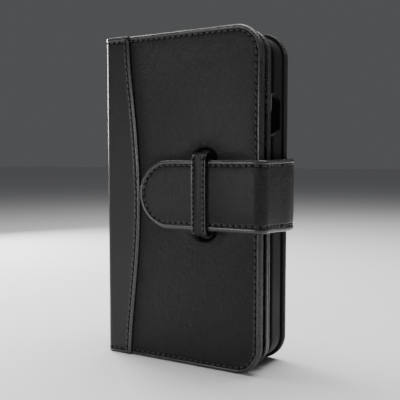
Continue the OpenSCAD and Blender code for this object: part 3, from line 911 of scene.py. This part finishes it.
def spine_lining_pieces():
    """The lining that runs inside the spine from cover to cover, split at its middle."""
    thickness = SPINE_LINING_HI[0] - SPINE_LINING_LO[0]
    centre_x = (SPINE_LINING_LO[0] + SPINE_LINING_HI[0]) / 2
    for name, way, outer, end_y, nodes in (
            ("spine_lining_front", -1, "front_cover", LINING_HI[1] + thickness / 2, ("spine_lining",)),
            ("spine_lining_back", 1, "back_cover", BACK_LINING_LO[1] - thickness / 2, ())):
        path = RoundedPath([(centre_x, SPINE_MID), (centre_x, end_y), (FAR_X, end_y)], 1.0)
        end = path.length - FAR_X + centre_x + 6.4
        box = (0.0, end, 0.6, CASE_H - 0.6)
        lay = round_spine_or_side(path, way, thickness)
        flat, faces = sheet(box, 0.6, rim(3.0, thickness, 0.0, edge=0.35, back_edge=0.3), 1.2,
                            soft_relief(11.0 + way, still=0.0), patch=3.0, arc_steps=6)
        lining = build(name, flat, faces, lay, "lining")
        if nodes:
            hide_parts(*nodes)
        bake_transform(lining)


def leaf_pieces():
    """The card leaf's two skins, its pockets and the strip that hinges it to the spine."""
    corner, pitch = in_mm("corner") - 1.0, in_mm("pitch")
    seam = 2.2
    box = (LEAF_LO[0], LEAF_HI[0], LEAF_LO[2], LEAF_HI[2])
    middle = (LEAF_LO[1] + LEAF_BACK) / 2
    for name, node, face_y, way in (("leaf_skin_front", "leaf_leather_front", LEAF_LO[1], 1),
                                    ("leaf_skin_rear", "leaf_leather_rear", LEAF_BACK, -1)):
        thickness = abs(middle - face_y)
        lay = on_plane(face_y, way)
        holes = seam_holes(box, corner, seam, pitch)
        flat, faces = sheet(box, corner, rim(corner, thickness, seam, 0.2, 0.05, 0.7, 0.25), 1.1,
                            soft_relief(13.0 + way), holes)
        skin = build(name, flat, faces, lay, "hide")
        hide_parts(node)
        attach(skin, "card_leaf")
        thread_row(name + "_thread", holes, 0.18, lay, ride="card_leaf")
    for k, node in enumerate(("leaf_pocket_front_1", "leaf_pocket_front_2"), 1):
        pocket_piece(node, "card_leaf", span(node)[0][1], 1, 17.0 + k)
    for k, node in enumerate(("leaf_pocket_rear_1", "leaf_pocket_rear_2"), 1):
        pocket_piece(node, "card_leaf", span(node)[1][1], -1, 21.0 + k)

    strip_t = STRIP_HI[1] - STRIP_LO[1]
    box = (STRIP_LO[0] - 0.2, LEAF_LO[0] + 1.5, STRIP_LO[2] + 0.5, STRIP_HI[2] - 0.5)
    flat, faces = sheet(box, 0.5, rim(1.2, strip_t, 0.0, edge=0.25, back_edge=0.2), 0.5,
                        round_left=True, patch=1.2, arc_steps=6)
    strip = build("leaf_hinge_gusset", flat, faces, on_plane(STRIP_LO[1], 1), "lining")
    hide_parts("leaf_hinge_strip")
    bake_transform(strip)


def camera_box():
    """The sides of the camera opening, as lowest and highest x and z."""
    side = in_mm("camera_side")
    x1, z1 = CASE_W - CAMERA_FROM_SIDE, CASE_H - CAMERA_FROM_TOP
    return x1 - side, x1, z1 - side, z1


def back_cover_pieces():
    """The back hide with its camera opening, its lining and their seams."""
    corner, pitch, seam = in_mm("corner"), in_mm("pitch"), in_mm("seam")
    x0, x1, z0, z1 = camera_box()
    radius, ring_out = in_mm("camera_corner"), 2.4
    box = (BACK_LO[0], CASE_W, 0.0, CASE_H)
    holes = seam_holes(box, corner, seam, pitch)
    lay = on_plane(CASE_D, -1)

    def relief(u, v, room):
        base = np.maximum(np.maximum(STRAP_BASE_LO[0] - u, np.abs(v - STRAP_Z) - STRAP_HALF_W), 0.0)
        opening = np.maximum(np.maximum(np.maximum(x0 - u, u - x1), np.maximum(z0 - v, v - z1)), 0.0)
        free = ease((u - flap_reach(v) - 0.5) / 7.0) * ease(base / 4.0) * ease(opening / 6.0)
        channel = 0.20 * np.exp(-((opening - ring_out) / 0.5) ** 2)
        return (slow_waves(u, v, 5.0) - 0.3 * ease(room / 14.0)) * free + channel

    flat, faces = sheet(box, corner, rim(corner, CASE_D - BACK_LO[1], seam, 0.45, 0.36, 1.3, hollow=True),
                        0.9, relief, holes)
    hide = build("back_cover_hide", flat, faces, lay, "hide")
    cut(hide, rounded_cutter(x0, x1, z0, z1, BACK_LO[1] - 1, CASE_D + 1, radius))
    dress(hide, "hide")
    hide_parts("back_leather")
    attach(hide, "back_cover")
    thread_row("back_cover_thread", holes, 0.26, lay, ride="back_cover")
    ring = seam_holes((x0 - ring_out, x1 + ring_out, z0 - ring_out, z1 + ring_out), radius + ring_out,
                      0.0, pitch * 0.9, round_left=True)
    thread_row("camera_opening_thread", ring, 0.18, lay, ride="back_cover")

    cover_lining("back", BACK_LINING_LO, BACK_LINING_HI, 1, 1.3, opening=(x0, x1, z0, z1))
    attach(camera_roll(x0, x1, z0, z1, radius), "back_cover")


def camera_roll(x0, x1, z0, z1, radius):
    """The hide turned in round the camera opening."""
    corners = list(rounded_corners(x0, x1, z0, z1, radius))
    outer_y, inner_y = CASE_D + 0.05, BACK_LO[1] + 0.3
    section = [(0.9, outer_y - 0.35), (0.55, outer_y - 0.05), (0.2, outer_y + 0.02), (-0.15, outer_y - 0.1),
               (-0.4, outer_y - 0.4), (-0.5, outer_y - 0.9), (-0.5, inner_y + 0.4), (-0.3, inner_y),
               (0.3, inner_y), (0.9, inner_y + 0.3)]
    points = [(cx + out_x * (radius + out), y, cz + out_z * (radius + out))
              for cx, cz, out_x, out_z in corners + corners[:1] for out, y in section]
    faces = ring_faces(len(corners) + 1, len(section))
    mesh = bpy.data.meshes.new("camera_opening_roll")
    mesh.from_pydata([tuple(to_frame(*p)) for p in points], [], faces)
    return dress(bpy.data.objects.new("camera_opening_roll", mesh), "hide", 50.0)


def tray_section(radius, deep):
    """The tray's wall from its outer floor over the lip to its inner floor, as a sheet's edge."""
    inner = TRAY_WALL + TRAY_LIP
    foot, brow = TRAY_FLOOR, TRAY_LIP_T
    section = [(radius, 0.0), (4.0, 0.0), (foot, 0.0)]
    section += [(foot - foot * math.sin(a), foot - foot * math.cos(a))
                for a in spaced(0, math.pi / 2, 0.2)[1:]]
    section += [(0.0, deep / 2), (0.0, deep - brow)]
    section += [(brow - brow * math.cos(a), deep - brow + brow * math.sin(a))
                for a in spaced(0, math.pi / 2, 0.26)[1:]]
    section += [(inner - 0.5, deep), (inner - 0.15, deep - 0.12), (inner, deep - 0.5),
                (inner - 0.15, deep - 0.85), (inner - 0.5, deep - TRAY_LIP_T),
                (TRAY_WALL + 0.3, deep - TRAY_LIP_T - 0.05), (TRAY_WALL, deep - TRAY_LIP_T - 0.4),
                (TRAY_WALL, TRAY_FLOOR + 1.2), (TRAY_WALL + 0.35, TRAY_FLOOR + 0.35),
                (TRAY_WALL + 1.2, TRAY_FLOOR), (radius, TRAY_FLOOR)]
    return [(inset, depth, 0.0) for inset, depth in section]


def tray_pieces():
    """The moulded tray with its openings, and the soft liner on its floor."""
    low, high = TRAY_LO, TRAY_HI
    radius = in_mm("corner") - 2.0
    box = (low[0], high[0], low[2], high[2])
    flat, faces = sheet(box, radius, tray_section(radius, high[1] - low[1]), 2.0, round_left=True,
                        arc_steps=16)
    tray = build("moulded_tray", flat, faces, on_plane(high[1], -1), "tray")
    x0, x1, z0, z1 = camera_box()
    cut(tray, rounded_cutter(x0, x1, z0, z1, high[1] - 3, high[1] + 1, in_mm("camera_corner")))
    foot_y = low[1] + 8.0
    for inner_x, outer_x, lip_half, foot_half in ((high[0] - 3.4, high[0] + 1.0, 10.5, 7.2),
                                                  (low[0] - 1.0, low[0] + 3.4, 20.0, 16.5)):
        outline = key_outline(low[1] - 1.0, foot_y, lip_half, foot_half, KEY_Z)
        cut(tray, prism([(inner_x, y, z) for y, z in outline], [(outer_x, y, z) for y, z in outline]))
    port = port_outline((low[0] + high[0]) / 2, 18.0, high[1] - 5.3, 3.0)
    cut(tray, prism([(x, y, low[2] - 1) for x, y in port], [(x, y, low[2] + 2.6) for x, y in port]))
    dress(tray, "tray", 35.0)
    soften = tray.modifiers.new("softened_cuts", "BEVEL")
    soften.width, soften.segments, soften.limit_method = 0.22 * MM, 2, "ANGLE"
    soften.angle_limit = math.radians(40)
    soften.harden_normals = False
    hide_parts("phone_tray")
    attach(tray, "back_cover")

    low, high = TRAY_LINER_LO, TRAY_LINER_HI
    radius -= TRAY_WALL
    box = (low[0] + 0.3, high[0] - 0.3, low[2] + 0.3, high[2] - 0.3)
    flat, faces = sheet(box, radius, rim(radius, high[1] - low[1], 0.0, edge=0.3, back_edge=0.1), 2.0,
                        round_left=True)
    liner = build("tray_soft_liner", flat, faces, on_plane(low[1], 1), "lining")
    cut(liner, rounded_cutter(x0 - 0.6, x1 + 0.6, z0 - 0.6, z1 + 0.6, low[1] - 1, high[1] + 1,
                              in_mm("camera_corner") + 0.6))
    dress(liner, "lining")
    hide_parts("tray_liner")
    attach(liner, "back_cover")


def key_outline(lip_y, foot_y, lip_half, foot_half, middle):
    """A side key opening in the y-z plane: open at the lip, rounded at its foot."""
    points = [(lip_y, middle - lip_half), (foot_y - 2.0, middle - foot_half - 0.6)]
    points += [(foot_y - 1.4 + 1.4 * math.sin(a), middle - foot_half + 1.4 - 1.4 * math.cos(a))
               for a in np.linspace(0.25, math.pi / 2, 6)]
    points += [(foot_y - 1.4 + 1.4 * math.sin(a), middle + foot_half - 1.4 + 1.4 * math.cos(a))
               for a in np.linspace(math.pi / 2, 0.25, 6)]
    points += [(foot_y - 2.0, middle + foot_half + 0.6), (lip_y, middle + lip_half)]
    return points


def port_outline(centre, half, y, half_h):
    """A slot with round ends in the x-y plane."""
    points = []
    for end, first in ((1, -0.5), (-1, 0.5)):
        for k in range(11):
            a = math.pi * (first + k / 10)
            points.append((centre + end * (half - half_h) + half_h * math.cos(a), y + half_h * math.sin(a)))
    return points


def strap_half(name, way, inner, outer, run, radius, patch, relief, nodes, cores):
    """One half of the strap, from the middle of its side stretch to one of its ends."""
    bend_r = 2.9 + STRAP_T / 2
    mid_x = STRAP_SIDE_HI[0] - STRAP_T / 2
    face = TONGUE_LO[1] if way < 0 else STRAP_BASE_HI[1]
    mid_y = face - way * STRAP_T / 2
    path = RoundedPath([(mid_x, STRAP_MID), (mid_x, mid_y), (0.0, mid_y)], bend_r)
    end = path.length - run
    box = (0.0, end, STRAP_Z - STRAP_HALF_W, STRAP_Z + STRAP_HALF_W)
    seam = in_mm("strap_seam")
    holes = seam_holes(box, radius, seam, in_mm("pitch"), start=1.0)
    wrap = round_spine_or_side(path, way, STRAP_T)
    case_span = STRAP_BASE_HI[1] - TONGUE_LO[1]

    def lay(f):
        placed = wrap(f)
        across = np.clip((placed[:, 1] - TONGUE_LO[1]) / case_span, 0, 1)
        on_side = ease((placed[:, 0] - STRAP_SIDE_HI[0] + 9.0) / 8.0)
        placed[:, 0] += in_mm("strap_bulge") * np.sin(np.pi * across ** 2.2) * on_side
        placed[:, 2] = STRAP_Z + (placed[:, 2] - STRAP_Z) * (1.0 + 0.05 * ease((across - 0.1) / 0.9))
        lower_border = ease((STRAP_Z - placed[:, 2] - 13.9) / 2.3)
        placed[:, 2] -= in_mm("strap_lower_border") * lower_border
        return placed

    flat, faces = sheet(box, radius, rim(patch, STRAP_T, seam, 0.42, 0.32, 1.1, 0.5), 0.6,
                        relief, holes, patch=patch, arc_steps=36)
    piece = build(name, flat, faces, lay, "strap_hide")
    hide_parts(*nodes)
    corner = to_frame(mid_x - 6.0, face, STRAP_Z), to_frame(mid_x, face - way * 7.5, STRAP_Z)
    bend = (inner, outer, *(corner[::-1] if way < 0 else corner))
    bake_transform(piece)
    thread_row(name + "_thread", holes, 0.34, lay, blend=bend)

    core_t = 0.4
    box = (0.0, end - STRAP_RIM, box[2] + STRAP_RIM, box[3] - STRAP_RIM)
    core_r = max(radius - STRAP_RIM, 1.5)
    flat, faces = sheet(box, core_r, rim(core_r, core_t, edge=0.15, back_edge=0.1), 2.0)
    flat[:, 2] += (STRAP_T - core_t) / 2 + 0.2
    core = build(name + "_core", flat, faces, lay, "foam")
    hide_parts(*cores)
    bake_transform(core)


def strap_pieces():
    """The strap as a tongue half over the front and a base half sewn to the back."""
    strap_half("strap_tongue_half", -1, "strap_side", "strap_tongue", in_mm("strap_tip"), STRAP_HALF_W,
               STRAP_HALF_W, soft_relief(23.0, 0.30, still=0.0),
               ("strap_tongue_leather", "strap_tongue_lining", "strap_front_bend", "strap_side_leather",
                "strap_side_lining"), ("strap_tongue_core",))
    strap_half("strap_base_half", 1, "back_cover", "strap_side", STRAP_BASE_LO[0], 6.0, 8.0,
               soft_relief(29.0, 0.22, still=0.0),
               ("strap_base_leather", "strap_base_lining", "strap_root_bend"),
               ("strap_base_core", "strap_side_core"))


def keeper_slot_shade(sign):
    """A shallow bowl inside one slot that the keeper's end drops into, in near-black painted shade that
    stands in for the shade deep in the slot.
    """
    half_w, half_h = in_mm("slot_width") / 2 * 0.97, in_mm("slot_height") / 2 * 0.97
    steps, rings = 40, 8
    points, faces = [], []
    for thickness in (0.0, 0.12):
        for ring in range(1, rings + 1):
            share = ring / rings
            for k in range(steps):
                angle = 2 * math.pi * k / steps
                depth = 1.95 - 1.35 * ease((share - 0.45) / 0.55) + thickness
                points.append((SLOT_X + half_w * share * math.cos(angle), float(depth),
                               STRAP_Z + sign * SLOT_MIDDLE + half_h * share * math.sin(angle)))
    back = rings * steps
    for layer in (0, back):
        faces.append([layer + k for k in range(steps)])
        faces += ring_faces(rings, steps, layer)
    last = back - steps
    faces += [[last + k, last + (k + 1) % steps, back + last + (k + 1) % steps, back + last + k]
              for k in range(steps)]
    mesh = bpy.data.meshes.new("keeper_slot_shade")
    mesh.from_pydata([tuple(to_frame(*p)) for p in points], [], faces)
    name = "keeper_slot_shade_upper" if sign > 0 else "keeper_slot_shade_lower"
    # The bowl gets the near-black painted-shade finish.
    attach(dress(bpy.data.objects.new(name, mesh), "hole_shade"), "front_cover")


def keeper_pieces():
    """The keeper loop: a sewn strip that arches over the strap and dives into its two slots."""
    width = KEEPER_HI[0] - KEEPER_LO[0] + 0.5
    mid_y = KEEPER_LO[1] + KEEPER_T / 2
    reach = KEEPER_REACH - KEEPER_T / 2
    path = RoundedPath([(1.7, STRAP_Z - reach), (mid_y, STRAP_Z - reach), (mid_y, STRAP_Z + reach),
                        (1.7, STRAP_Z + reach)], 2.8)
    box = (0.0, path.length, -width / 2, width / 2)

    def lay(f):
        place, heading = path.at(f[:, 0])
        out = np.stack([-heading[:, 1], heading[:, 0]], -1)
        share = np.clip(f[:, 0] / path.length, 0, 1)
        arch = 0.35 * np.sin(np.pi * share) ** 2
        place = place + out * (KEEPER_T / 2 - f[:, 2] + arch)[:, None]
        narrow = 1.0 - 0.10 * (1.0 - ease(np.minimum(share, 1 - share) / 0.14))
        return np.stack([KEEPER_X + f[:, 1] * narrow, place[:, 0], place[:, 1]], -1)

    # Each slot gets a near-black bowl of painted shade.
    for sign in (-1, 1):
        keeper_slot_shade(sign)
    seam = 1.35
    rows = [even_points(np.array([(1.2, v), (path.length - 1.2, v)]), in_mm("pitch") * 0.82)
            for v in (-width / 2 + seam, width / 2 - seam)]
    flat, faces = sheet(box, 0.5, rim(3.2, KEEPER_T, seam, 0.20, 0.10, 0.5, 0.4), 0.45,
                        lambda u, v, room: -0.18 * ease((room - seam) / 1.4), np.concatenate(rows),
                        round_left=True, patch=3.2, arc_steps=8)
    loop = build("keeper_loop", flat, faces, lay, "strap_hide")
    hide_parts("keeper_strip", "keeper_backing")
    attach(loop, "front_cover")
    for k, row in enumerate(rows, 1):
        thread_row(f"keeper_thread_{k}", row, 0.16, lay, ride="front_cover")


def hidden_layers():
    """Boards, padding and the bonding pad keep their frame shapes and get their own finish."""
    kinds = {"front_board": "board", "back_board": "board", "leaf_board": "board", "spine_board": "board",
             "front_padding": "foam", "tray_bond_pad": "foam"}
    for node, kind in kinds.items():
        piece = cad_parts[node]
        piece.data.materials.clear()
        piece.data.materials.append(finish_of(kind))


# ---------- stage ----------

CAMERA_PLACE = (204.0, -258.2, 99.4)
CAMERA_AZIMUTH = 30.04
CAMERA_PITCH = -3.70
CAMERA_LENS = 57.1


def area_light(name, place, target, side, power, tint=(1.0, 1.0, 1.0)):
    """A square soft box, in case millimetres, side in metres and power in watts."""
    data = bpy.data.lights.new(name, "AREA")
    data.shape, data.size, data.energy, data.color = "SQUARE", side, power, tint
    lamp = bpy.data.objects.new(name, data)
    bpy.context.scene.collection.objects.link(lamp)
    lamp.location = to_frame(*place)
    aim = to_frame(*target) - lamp.location
    lamp.rotation_euler = aim.to_track_quat("-Z", "Y").to_euler()


def place_camera(scene):
    """The camera, in front of the case and off to its opening side, tilted a little down."""
    data = bpy.data.cameras.new("camera")
    data.lens, data.sensor_width = CAMERA_LENS, 36.0
    data.clip_start, data.clip_end = 0.01, 20.0
    camera = bpy.data.objects.new("camera", data)
    scene.collection.objects.link(camera)
    camera.location = to_frame(*CAMERA_PLACE)
    turn, tilt = math.radians(CAMERA_AZIMUTH), math.radians(CAMERA_PITCH)
    ahead = Vector((-math.sin(turn) * math.cos(tilt), math.cos(turn) * math.cos(tilt), math.sin(tilt)))
    camera.rotation_euler = ahead.to_track_quat("-Z", "Y").to_euler()
    scene.camera = camera


def lay_floor(scene):
    """A wide pale floor that the case stands on."""
    mesh = bpy.data.meshes.new("studio_floor")
    reach = 6.0
    mesh.from_pydata([(-reach, -reach, 0), (reach, -reach, 0), (reach, reach, 0), (-reach, reach, 0)], [],
                     [[0, 1, 2, 3]])
    floor = bpy.data.objects.new("studio_floor", mesh)
    scene.collection.objects.link(floor)
    mesh.materials.append(finish_of("floor"))


def stage_scene():
    """The camera, the floor, a dim even surround and seven soft lights."""
    scene = bpy.context.scene
    place_camera(scene)
    lay_floor(scene)
    world = bpy.data.worlds.new("soft_studio")
    scene.world = world
    world.use_nodes = True
    surround = world.node_tree.nodes["Background"]
    surround.inputs["Color"].default_value = (0.78, 0.79, 0.81, 1.0)
    surround.inputs["Strength"].default_value = 0.11
    middle = (50.0, 10.0, 85.0)
    area_light("key_light", (-165.0, -520.0, 105.0), middle, 0.14, 0.9)
    area_light("top_light", (80.0, 160.0, 700.0), middle, 0.6, 6.5)
    area_light("opening_rim_light", (430.0, 460.0, 260.0), middle, 0.20, 0.07)
    area_light("bead_light", (70.0, -640.0, 200.0), middle, 0.10, 0.22)
    area_light("upper_left_light", (-300.0, -20.0, 560.0), middle, 0.22, 1.5)
    area_light("left_edge_light", (-600.0, -40.0, 130.0), middle, 0.18, 0.40)
    area_light("spine_rim_light", (-430.0, 240.0, 240.0), middle, 0.26, 4.0, (0.97, 0.98, 1.0))


# ---------- add-on ----------

class CASE_OT_front_cover(Operator):
    """Build the front cover's hide, lining and seams"""
    bl_idname = "case.front_cover"
    bl_label = "Front Cover"

    def execute(self, context):
        front_cover_pieces()
        return {"FINISHED"}


class CASE_OT_front_pockets(Operator):
    """Build the card and cash pockets inside the front cover"""
    bl_idname = "case.front_pockets"
    bl_label = "Front Pockets"

    def execute(self, context):
        front_pocket_pieces()
        return {"FINISHED"}


class CASE_OT_spine(Operator):
    """Build the spine hide that wraps onto both covers, and the spine lining"""
    bl_idname = "case.spine"
    bl_label = "Spine"

    def execute(self, context):
        spine_pieces()
        spine_lining_pieces()
        return {"FINISHED"}


class CASE_OT_card_leaf(Operator):
    """Build the hinged card leaf with its pockets"""
    bl_idname = "case.card_leaf"
    bl_label = "Card Leaf"

    def execute(self, context):
        leaf_pieces()
        return {"FINISHED"}


class CASE_OT_back_cover(Operator):
    """Build the back cover's hide, lining and camera opening"""
    bl_idname = "case.back_cover"
    bl_label = "Back Cover"

    def execute(self, context):
        back_cover_pieces()
        return {"FINISHED"}


class CASE_OT_tray(Operator):
    """Build the moulded phone tray and its soft liner"""
    bl_idname = "case.tray"
    bl_label = "Phone Tray"

    def execute(self, context):
        tray_pieces()
        return {"FINISHED"}


class CASE_OT_strap(Operator):
    """Build both halves of the closing strap"""
    bl_idname = "case.strap"
    bl_label = "Strap"

    def execute(self, context):
        strap_pieces()
        return {"FINISHED"}


class CASE_OT_keeper(Operator):
    """Build the keeper loop that holds the strap's tongue"""
    bl_idname = "case.keeper"
    bl_label = "Keeper Loop"

    def execute(self, context):
        keeper_pieces()
        return {"FINISHED"}


class CASE_OT_hidden_layers(Operator):
    """Give the boards and padding inside the leather their finishes"""
    bl_idname = "case.hidden_layers"
    bl_label = "Hidden Layers"

    def execute(self, context):
        hidden_layers()
        return {"FINISHED"}


class CASE_OT_stage(Operator):
    """Set the floor, lights and camera"""
    bl_idname = "case.stage"
    bl_label = "Stage"

    def execute(self, context):
        stage_scene()
        return {"FINISHED"}


OPERATORS = (CASE_OT_stage, CASE_OT_front_cover, CASE_OT_front_pockets, CASE_OT_spine, CASE_OT_card_leaf,
             CASE_OT_back_cover, CASE_OT_tray, CASE_OT_strap, CASE_OT_keeper, CASE_OT_hidden_layers)


class CASE_PT_panel(Panel):
    """Lists the case's pieces and settings"""
    bl_idname = "CASE_PT_panel"
    bl_label = "Phone Wallet Case"
    bl_space_type = "VIEW_3D"
    bl_region_type = "UI"
    bl_category = "Case"

    def draw(self, context):
        for group in (context.scene.case_sizes, context.scene.case_colours):
            for name in group.__annotations__:
                self.layout.prop(group, name)
        for operator in OPERATORS:
            self.layout.operator(operator.bl_idname)


CLASSES = (CaseSizes, CaseColours, *OPERATORS, CASE_PT_panel)


def register():
    for cls in CLASSES:
        bpy.utils.register_class(cls)
    bpy.types.Scene.case_sizes = PointerProperty(type=CaseSizes)
    bpy.types.Scene.case_colours = PointerProperty(type=CaseColours)


def unregister():
    del bpy.types.Scene.case_colours
    del bpy.types.Scene.case_sizes
    for cls in reversed(CLASSES):
        bpy.utils.unregister_class(cls)


def main():
    """Builds every piece in order."""
    register()
    for operator in OPERATORS:
        group, name = operator.bl_idname.split(".")
        getattr(getattr(bpy.ops, group), name)()


if __name__ == "__main__":
    main()
